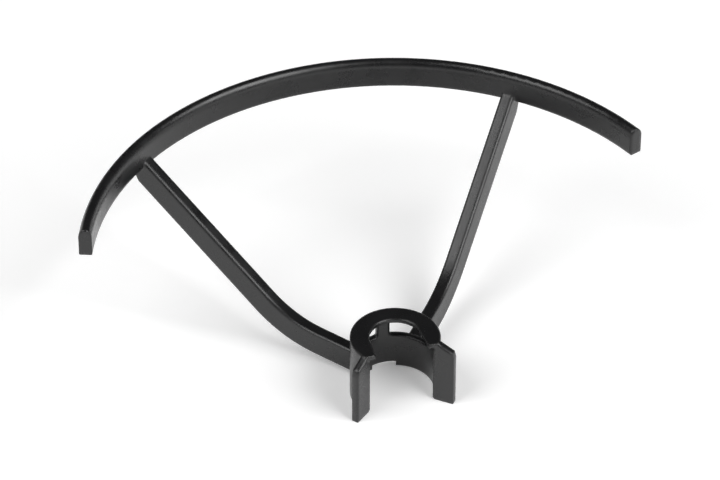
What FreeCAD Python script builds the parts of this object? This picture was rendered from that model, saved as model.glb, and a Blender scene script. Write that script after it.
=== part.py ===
import FreeCAD, Part
import math
import os

os.makedirs("parts", exist_ok=True)

# Drone propeller guard, one moulded piece, all sizes in millimetres.
# Origin on the motor's axis at the clip's underside, +X to the hoop's middle, +Z up.

# Hoop around the propeller's path
HOOP_OUTER_RADIUS = 45.3
HOOP_WIDTH = 1.9
HOOP_HEIGHT = 4.4
HOOP_SPAN_ANGLE = 140.0
HOOP_CROWN = 1.3
GUARD_HEIGHT = 27.85

# Degrees round the crown, from its outer side to its inner one, where its arcs begin and end
CROWN_ARC_ENDS = [0, 50, 130, 180]

# Arms from the clip up to the hoop
ARM_ANGLE = 39.9
ARM_DEPTH = 3.6
ARM_TOP_WIDTH = 1.95
ARM_UNDER_WIDTH = 2.4
ARM_TOP_ROUND = 0.35
ARM_UNDER_ROUND = 0.2
ARM_ROOT_LEVEL = 3.27
ARM_INNER_ANGLE = 3.6
ARM_MEET_ABOVE = 0.2
ARM_BEND_RADIUS = 17.5
ARM_CORNER_RADIUS = 18.6
FOOT_SHOW = 1.05
FOOT_CUT_IN = 1.0
FOOT_CUT_DOWN = 1.8

# Clip around the motor
CLIP_BORE_RADIUS = 5.7
CLIP_WALL = 0.9
CLIP_HEIGHT = 10.5
CLIP_TOP_ROUND = 0.25
BORE_LEAD_IN = 0.3
LIP_THICKNESS = 0.65
LIP_OPENING_RADIUS = 3.8
LIP_OPENING_FLARE = 0.3
LIP_END = 3.5

# Windows through the clip's wall, and the notch in the wall's lower edge between the arms
WINDOW_SILL = 5.9
WINDOW_TOP = 9.3
POST_HALF_ANGLE = 9.0
WINDOW_END_ANGLE = 69.0
WINDOW_CORNER_ROUND = 0.3
NOTCH_HALF_ANGLE = 18.5
NOTCH_HEIGHT = 1.05

# Mouth of the clip and the ears beside it
EAR_ANGLE = 130.5
EAR_FACE_OFFSET = 0.72
EAR_THICKNESS = 1.1
EAR_REACH = 8.85
EAR_TIP_HEIGHT = 8.4
EAR_SHOULDER_HEIGHT = 9.3
EAR_SHOULDER_IN = 0.25
EAR_EDGE_ROUND = 0.15

# Small rounds where the arms run into the clip, and the flat that breaks minor edges
ROOT_ROUND = 0.4
EDGE_BREAK = 0.12

# How far a cutting shape runs past the faces it cuts
CUT_PAST = 1.0

# How near two lengths must be to count as the same one
SAME = 0.001

CLIP_OUTER_RADIUS = CLIP_BORE_RADIUS + CLIP_WALL
HOOP_INNER_RADIUS = HOOP_OUTER_RADIUS - HOOP_WIDTH
HOOP_UNDERSIDE = GUARD_HEIGHT - HOOP_HEIGHT


def vec(x, y, z=0.0):
    return FreeCAD.Vector(x, y, z)


def polar(radius, degrees, z=0.0):
    a = math.radians(degrees)
    return vec(radius * math.cos(a), radius * math.sin(a), z)


def turned(shape, degrees):
    copy = shape.copy()
    copy.rotate(vec(0, 0, 0), vec(0, 0, 1), degrees)
    return copy


def rounded_outline(corners, rounds):
    # Closed outline through the corners, each one rounded with its own radius
    count = len(corners)
    starts = []
    arcs = []
    ends = []
    for i in range(count):
        here = corners[i]
        back = (corners[i - 1] - here).normalize()
        ahead = (corners[(i + 1) % count] - here).normalize()
        half = back.getAngle(ahead) / 2
        reach = rounds[i] / math.tan(half)
        start = here + back * reach
        end = here + ahead * reach
        if rounds[i] > 0:
            middle_way = (back + ahead).normalize()
            centre = here + middle_way * (rounds[i] / math.sin(half))
            arcs.append(Part.Arc(start, centre - middle_way * rounds[i], end).toShape())
        else:
            arcs.append(None)
        starts.append(start)
        ends.append(end)
    edges = []
    for i in range(count):
        if arcs[i] is not None:
            edges.append(arcs[i])
        edges.append(Part.makeLine(ends[i], starts[(i + 1) % count]))
    return Part.Wire(edges)


def hoop():
    # Bar of one section bent round the motor's axis: upright sides under a rounded crown
    middle = (HOOP_OUTER_RADIUS + HOOP_INNER_RADIUS) / 2
    half = HOOP_WIDTH / 2
    shoulder = GUARD_HEIGHT - HOOP_CROWN
    low = HOOP_UNDERSIDE + EDGE_BREAK
    crown = []
    for start, end in zip(CROWN_ARC_ENDS, CROWN_ARC_ENDS[1:]):
        points = []
        for degrees in (start, (start + end) / 2, end):
            way = polar(1, degrees)
            points.append(vec(middle + half * way.x, 0, shoulder + HOOP_CROWN * way.y))
        crown.append(Part.Arc(*points).toShape())
    section = Part.Wire(crown + [
        Part.makeLine(vec(middle - half, 0, shoulder), vec(middle - half, 0, low)),
        Part.makeLine(vec(middle - half, 0, low), vec(middle - half + EDGE_BREAK, 0, HOOP_UNDERSIDE)),
        Part.makeLine(vec(middle - half + EDGE_BREAK, 0, HOOP_UNDERSIDE),
                      vec(middle + half - EDGE_BREAK, 0, HOOP_UNDERSIDE)),
        Part.makeLine(vec(middle + half - EDGE_BREAK, 0, HOOP_UNDERSIDE), vec(middle + half, 0, low)),
        Part.makeLine(vec(middle + half, 0, low), vec(middle + half, 0, shoulder)),
    ])
    bar = Part.Face(section).revolve(vec(0, 0, 0), vec(0, 0, 1), HOOP_SPAN_ANGLE)
    return turned(bar, -HOOP_SPAN_ANGLE / 2)


def arm_path():
    # Side view of the arm's centre line: shallow run, bend, steep run
    inner = math.radians(ARM_INNER_ANGLE)
    root = (CLIP_BORE_RADIUS + CLIP_OUTER_RADIUS) / 2
    corner_z = ARM_ROOT_LEVEL + (ARM_CORNER_RADIUS - root) * math.tan(inner)
    # The steep run aims at the hoop's outer face, a little above the hoop's underside
    climb = HOOP_UNDERSIDE + ARM_MEET_ABOVE - corner_z
    outer = math.atan2(climb, HOOP_OUTER_RADIUS - ARM_CORNER_RADIUS)
    corner = vec(ARM_CORNER_RADIUS, 0, corner_z)
    along_in = vec(math.cos(inner), 0, math.sin(inner))
    along_out = vec(math.cos(outer), 0, math.sin(outer))
    reach = ARM_BEND_RADIUS * math.tan((outer - inner) / 2)
    bend_start = corner - along_in * reach
    bend_end = corner + along_out * reach
    # The middle of the bend lies on the line that halves the corner
    halving = (along_out - along_in).normalize()
    drop = ARM_BEND_RADIUS / math.cos((outer - inner) / 2) - ARM_BEND_RADIUS
    bend_middle = corner + halving * drop
    start = vec(root, 0, ARM_ROOT_LEVEL)
    run = (HOOP_OUTER_RADIUS + ARM_DEPTH - bend_end.x) / math.cos(outer)
    end = bend_end + along_out * run
    return Part.Wire([
        Part.makeLine(start, bend_start),
        Part.Arc(bend_start, bend_middle, bend_end).toShape(),
        Part.makeLine(bend_end, end),
    ]), start, along_in


def arm():
    # Rounded section, wider below, swept along the centre line and cut at the hoop
    path, start, along = arm_path()
    up = vec(-along.z, 0, along.x)
    side = vec(0, 1, 0)
    top = up * (ARM_DEPTH / 2)
    corners = [
        start - top - side * (ARM_UNDER_WIDTH / 2),
        start - top + side * (ARM_UNDER_WIDTH / 2),
        start + top + side * (ARM_TOP_WIDTH / 2),
        start + top - side * (ARM_TOP_WIDTH / 2),
    ]
    rounds = [ARM_UNDER_ROUND, ARM_UNDER_ROUND, ARM_TOP_ROUND, ARM_TOP_ROUND]
    bar = path.makePipeShell([rounded_outline(corners, rounds)], True, True)
    return Part.Solid(bar).common(arm_limit())


def arm_limit():
    # The arm ends inside the hoop's outer face, its foot trimmed back below it
    foot = HOOP_UNDERSIDE - FOOT_SHOW
    face = HOOP_OUTER_RADIUS - EDGE_BREAK
    top = GUARD_HEIGHT - HOOP_CROWN
    points = [
        vec(0, 0, 0),
        vec(face - FOOT_CUT_IN, 0, 0),
        vec(face - FOOT_CUT_IN, 0, foot - FOOT_CUT_DOWN),
        vec(face, 0, foot),
        vec(face, 0, top),
        vec(0, 0, top),
        vec(0, 0, 0),
    ]
    return Part.Face(Part.makePolygon(points)).revolve(vec(0, 0, 0), vec(0, 0, 1), 360)


def clip_shell():
    # Cup turned upside down: round wall with a flat lip turned in at the top
    lip_under = CLIP_HEIGHT - LIP_THICKNESS
    corners = [
        vec(CLIP_BORE_RADIUS, 0, BORE_LEAD_IN),
        vec(CLIP_BORE_RADIUS + BORE_LEAD_IN, 0, 0),
        vec(CLIP_OUTER_RADIUS - EDGE_BREAK, 0, 0),
        vec(CLIP_OUTER_RADIUS, 0, EDGE_BREAK),
        vec(CLIP_OUTER_RADIUS, 0, CLIP_HEIGHT),
        vec(LIP_OPENING_RADIUS + EDGE_BREAK, 0, CLIP_HEIGHT),
        vec(LIP_OPENING_RADIUS, 0, CLIP_HEIGHT - EDGE_BREAK),
        vec(LIP_OPENING_RADIUS, 0, lip_under),
        vec(CLIP_BORE_RADIUS, 0, lip_under),
    ]
    rounds = [0, 0, 0, 0, CLIP_TOP_ROUND, 0, 0, 0, 0]
    return Part.Face(rounded_outline(corners, rounds)).revolve(vec(0, 0, 0), vec(0, 0, 1), 360)


def mouth():
    # Wedge between the inner faces of the two ears, out through the wall
    apex = EAR_FACE_OFFSET / math.sin(math.radians(EAR_ANGLE))
    far = 2 * CLIP_OUTER_RADIUS
    reach = polar(far, EAR_ANGLE)
    points = [
        vec(apex, 0, -CUT_PAST),
        vec(apex + reach.x, reach.y, -CUT_PAST),
        vec(apex + reach.x, -reach.y, -CUT_PAST),
        vec(apex, 0, -CUT_PAST),
    ]
    lip_under = CLIP_HEIGHT - LIP_THICKNESS
    wedge = Part.Face(Part.makePolygon(points)).extrude(vec(0, 0, CUT_PAST + lip_under))
    # The lip stops on a straight line across the mouth and its hole opens out to it
    corner = vec(-LIP_END - far, -far, lip_under)
    across = Part.makeBox(far, 2 * far, LIP_THICKNESS + CUT_PAST, corner)
    end = -LIP_END - CUT_PAST
    wide = LIP_OPENING_RADIUS + LIP_OPENING_FLARE
    points = [
        vec(0, -LIP_OPENING_RADIUS, lip_under),
        vec(end, -wide, lip_under),
        vec(end, wide, lip_under),
        vec(0, LIP_OPENING_RADIUS, lip_under),
        vec(0, -LIP_OPENING_RADIUS, lip_under),
    ]
    slot = Part.Face(Part.makePolygon(points)).extrude(vec(0, 0, LIP_THICKNESS + CUT_PAST))
    return wedge.fuse([across, slot])


def wall_block(low, high, start, end):
    # Block that cuts the clip's wall between two levels and two angles
    inner = CLIP_BORE_RADIUS - CUT_PAST
    outer = CLIP_OUTER_RADIUS + CUT_PAST
    profile = Part.Face(Part.makePolygon([
        vec(inner, 0, low),
        vec(outer, 0, low),
        vec(outer, 0, high),
        vec(inner, 0, high),
        vec(inner, 0, low),
    ]))
    return turned(profile.revolve(vec(0, 0, 0), vec(0, 0, 1), end - start), start)


def window():
    # Opening beside the middle post, from the sill to the band below the lip
    block = wall_block(WINDOW_SILL, WINDOW_TOP, POST_HALF_ANGLE, WINDOW_END_ANGLE)
    depth = CLIP_WALL + 2 * CUT_PAST
    corners = [e for e in block.Edges
               if abs(e.Length - depth) < SAME and e.BoundBox.ZMax - e.BoundBox.ZMin < SAME]
    return block.makeFillet(WINDOW_CORNER_ROUND, corners)


def notch():
    return wall_block(-CUT_PAST, NOTCH_HEIGHT, -NOTCH_HALF_ANGLE, NOTCH_HALF_ANGLE)


def ear():
    # Flat upright plate beside the mouth, its top sloping down to the tip
    root = CLIP_BORE_RADIUS + CLIP_WALL / 2
    tip_in = EAR_REACH - EAR_SHOULDER_IN
    slope_start = CLIP_OUTER_RADIUS - CLIP_TOP_ROUND
    points = [
        vec(root, 0, 0),
        vec(EAR_REACH, 0, 0),
        vec(EAR_REACH, 0, EAR_TIP_HEIGHT),
        vec(tip_in, 0, EAR_SHOULDER_HEIGHT),
        vec(slope_start, 0, CLIP_HEIGHT - CLIP_TOP_ROUND / 2),
        vec(root, 0, CLIP_HEIGHT - CLIP_TOP_ROUND / 2),
        vec(root, 0, 0),
    ]
    plate = Part.Face(Part.makePolygon(points)).extrude(vec(0, EAR_THICKNESS, 0))
    rim = [e for e in plate.Edges
           if e.BoundBox.XMin > root + SAME and e.BoundBox.YMax - e.BoundBox.YMin < SAME]
    plate = plate.makeFillet(EAR_EDGE_ROUND, rim)
    plate.translate(vec(0, -EAR_FACE_OFFSET - EAR_THICKNESS, 0))
    return turned(plate, EAR_ANGLE)


def mirrored(shape):
    return shape.mirror(vec(0, 0, 0), vec(0, 1, 0))


def root_edges(shape):
    # Edges where an arm meets the clip's outer wall
    low = ARM_ROOT_LEVEL - ARM_DEPTH / 2 - ROOT_ROUND
    high = ARM_ROOT_LEVEL + ARM_DEPTH / 2 + ROOT_ROUND
    found = []
    for e in shape.Edges:
        box = e.BoundBox
        if box.ZMin < low or box.ZMax > high:
            continue
        mid = e.valueAt((e.FirstParameter + e.LastParameter) / 2)
        ends = [e.valueAt(e.FirstParameter), mid, e.valueAt(e.LastParameter)]
        if all(abs(math.hypot(p.x, p.y) - CLIP_OUTER_RADIUS) < SAME for p in ends):
            found.append(e)
    return found


def guard():
    # Everything fused into one moulding
    left_ear = ear()
    left_window = window()
    shell = clip_shell().cut(mouth())
    shell = shell.cut([left_window, mirrored(left_window), notch()])
    left_arm = turned(arm(), ARM_ANGLE)
    body = shell.fuse([left_ear, mirrored(left_ear), left_arm, mirrored(left_arm)])
    body = body.removeSplitter()
    body = body.makeFillet(ROOT_ROUND, root_edges(body))
    return body.fuse(hoop()).removeSplitter()


piece = guard()
if len(piece.Solids) != 1 or not piece.isValid():
    raise RuntimeError("the guard is not one valid solid")
piece.Solids[0].exportStep("parts/propeller_guard.step")
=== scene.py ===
import math

import bpy
from mathutils import Matrix, Vector

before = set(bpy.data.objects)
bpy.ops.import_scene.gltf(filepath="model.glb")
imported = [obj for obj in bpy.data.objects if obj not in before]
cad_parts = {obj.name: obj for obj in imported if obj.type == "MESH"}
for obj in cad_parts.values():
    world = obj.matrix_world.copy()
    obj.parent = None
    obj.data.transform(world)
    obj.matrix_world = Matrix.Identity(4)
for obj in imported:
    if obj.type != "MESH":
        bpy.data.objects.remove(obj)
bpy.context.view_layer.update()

# Where the photograph's camera stood in the guard's frame, in metres, and the way it faced
CAMERA_PLACE = Vector((-0.4465, 0.1403, 0.3958))
CAMERA_HEADING = math.radians(-19.66)
# The point in the middle of the picture, and the lens on a 36 mm wide sensor
CAMERA_AIM = Vector((0.0229, -0.0016, 0.0105))
CAMERA_LENS = 210.0

# The floor lies a hair under the clip, and looks whiter to the camera than its light makes it
FLOOR_LEVEL = -0.00003
FLOOR_RADIUS = 4.0
FLOOR_LIFT = 0.22

# Where the lamps point
GUARD_MIDDLE = Vector((0.02, 0, 0.01))

# Light from the walls and from above them, and the sine of the angle up to where the walls end
WALL_LIGHT = 0.9
SKY_LIGHT = 0.05
WALL_TOP = 0.12

# Black plastic: two shades, roughness where smooth and where dull, and noise scales per metre
SHADE_DARK = (0.0055, 0.0055, 0.006, 1)
SHADE_LIGHT = (0.0105, 0.0105, 0.011, 1)
ROUGHNESS_SMOOTH = 0.22
ROUGHNESS_DULL = 0.34
PATCH_SCALE = 260.0
GRAIN_SCALE = 9000.0
GRAIN_DEPTH = 0.00003
EDGE_RADIUS = 0.0007


def studio(x, y, z):
    """A place in the studio: x to the camera's right, y away from it, z up."""
    turn = Matrix.Rotation(CAMERA_HEADING - math.pi / 2, 3, "Z")
    return turn @ Vector((x, y, z))


def node_tree(material):
    """The material's node tree, emptied."""
    material.use_nodes = True
    tree = material.node_tree
    tree.nodes.clear()
    return tree


def add(tree, kind, **values):
    """A node of one kind, with sockets or settings given by name."""
    node = tree.nodes.new(kind)
    for name, value in values.items():
        socket = next((s for s in node.inputs if s.name.replace(" ", "_").lower() == name), None)
        if socket is not None:
            socket.default_value = value
        else:
            setattr(node, name, value)
    return node


def noise(tree, vector, scale, detail, roughness):
    node = add(tree, "ShaderNodeTexNoise", scale=scale, detail=detail, roughness=roughness)
    tree.links.new(vector, node.inputs["Vector"])
    return node.outputs["Fac"]


def ranged(tree, value, low, high, out_low, out_high):
    """A value moved from one range to another."""
    node = add(tree, "ShaderNodeMapRange")
    for socket, number in zip(("From Min", "From Max", "To Min", "To Max"), (low, high, out_low, out_high)):
        node.inputs[socket].default_value = number
    tree.links.new(value, node.inputs["Value"])
    return node.outputs["Result"]


def black_plastic():
    """Black moulded plastic: a fine mould grain, slight changes of polish and softly broken edges."""
    material = bpy.data.materials.new("guard_plastic")
    tree = node_tree(material)
    out = add(tree, "ShaderNodeOutputMaterial")
    shader = add(tree, "ShaderNodeBsdfPrincipled", ior=1.56)
    place = add(tree, "ShaderNodeTexCoord").outputs["Object"]
    grain = noise(tree, place, GRAIN_SCALE, 3.0, 0.6)
    patches = noise(tree, place, PATCH_SCALE, 3.0, 0.55)
    rough = ranged(tree, patches, 0.3, 0.7, ROUGHNESS_SMOOTH, ROUGHNESS_DULL)
    tree.links.new(rough, shader.inputs["Roughness"])
    # The mix node's colour sockets are inputs 6 and 7 and output 2
    shade = add(tree, "ShaderNodeMix", data_type="RGBA")
    shade.inputs[6].default_value = SHADE_DARK
    shade.inputs[7].default_value = SHADE_LIGHT
    tree.links.new(patches, shade.inputs[0])
    tree.links.new(shade.outputs[2], shader.inputs["Base Color"])
    bump = add(tree, "ShaderNodeBump", strength=0.5, distance=GRAIN_DEPTH)
    tree.links.new(grain, bump.inputs["Height"])
    broken_edges = add(tree, "ShaderNodeBevel", samples=12, radius=EDGE_RADIUS)
    tree.links.new(broken_edges.outputs["Normal"], bump.inputs["Normal"])
    tree.links.new(bump.outputs["Normal"], shader.inputs["Normal"])
    tree.links.new(shader.outputs["BSDF"], out.inputs["Surface"])
    return material


def floor_material():
    """White sweep that takes the guard's shadow."""
    material = bpy.data.materials.new("floor_white")
    tree = node_tree(material)
    out = add(tree, "ShaderNodeOutputMaterial")
    matt = add(tree, "ShaderNodeBsdfDiffuse", color=(0.94, 0.94, 0.94, 1))
    glow = add(tree, "ShaderNodeEmission")
    rays = add(tree, "ShaderNodeLightPath")
    seen = add(tree, "ShaderNodeMath", operation="MAXIMUM")
    tree.links.new(rays.outputs["Is Camera Ray"], seen.inputs[0])
    tree.links.new(rays.outputs["Is Glossy Ray"], seen.inputs[1])
    lift = add(tree, "ShaderNodeMath", operation="MULTIPLY")
    lift.inputs[1].default_value = FLOOR_LIFT
    tree.links.new(seen.outputs[0], lift.inputs[0])
    tree.links.new(lift.outputs[0], glow.inputs["Strength"])
    both = add(tree, "ShaderNodeAddShader")
    tree.links.new(matt.outputs["BSDF"], both.inputs[0])
    tree.links.new(glow.outputs["Emission"], both.inputs[1])
    tree.links.new(both.outputs["Shader"], out.inputs["Surface"])
    return material


def make_floor():
    bpy.ops.mesh.primitive_circle_add(vertices=96, radius=FLOOR_RADIUS, fill_type="NGON",
                                      location=(0, 0, FLOOR_LEVEL))
    floor = bpy.context.object
    floor.name = "floor"
    floor.data.materials.append(floor_material())


def make_world():
    """Bright walls low down, darker above, white where the camera looks past the floor."""
    world = bpy.data.worlds.new("studio")
    bpy.context.scene.world = world
    world.use_nodes = True
    tree = world.node_tree
    tree.nodes.clear()
    out = add(tree, "ShaderNodeOutputWorld")
    back = add(tree, "ShaderNodeBackground", color=(1, 1, 1, 1))
    way = add(tree, "ShaderNodeTexCoord").outputs["Generated"]
    parts = add(tree, "ShaderNodeSeparateXYZ")
    tree.links.new(way, parts.inputs[0])
    level = ranged(tree, parts.outputs["Z"], 0.0, WALL_TOP, WALL_LIGHT, SKY_LIGHT)
    rays = add(tree, "ShaderNodeLightPath")
    most = add(tree, "ShaderNodeMath", operation="MAXIMUM")
    tree.links.new(level, most.inputs[0])
    tree.links.new(rays.outputs["Is Camera Ray"], most.inputs[1])
    tree.links.new(most.outputs[0], back.inputs["Strength"])
    tree.links.new(back.outputs[0], out.inputs["Surface"])


def lamp(name, place, size, watts):
    data = bpy.data.lights.new(name, "AREA")
    data.shape = "RECTANGLE"
    data.size, data.size_y = size
    data.energy = watts
    lamp_object = bpy.data.objects.new(name, data)
    bpy.context.collection.objects.link(lamp_object)
    lamp_object.location = place
    lamp_object.rotation_mode = "QUATERNION"
    lamp_object.rotation_quaternion = (GUARD_MIDDLE - place).to_track_quat("-Z", "Y")


def make_camera():
    data = bpy.data.cameras.new("camera")
    data.sensor_width = 36.0
    data.lens = CAMERA_LENS
    camera = bpy.data.objects.new("camera", data)
    bpy.context.collection.objects.link(camera)
    camera.location = CAMERA_PLACE
    camera.rotation_mode = "QUATERNION"
    camera.rotation_quaternion = (CAMERA_AIM - CAMERA_PLACE).to_track_quat("-Z", "Y")
    bpy.context.scene.camera = camera


plastic = black_plastic()
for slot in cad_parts["propeller_guard"].material_slots:
    slot.material = plastic

make_floor()
make_world()
lamp("softbox_left", studio(-0.95, -0.5, 1.2), (1.1, 1.1), 14.5)
lamp("softbox_right", studio(1.15, -0.6, 1.15), (1.3, 1.2), 26.0)
make_camera()
bpy.context.scene.view_settings.view_transform = "Standard"
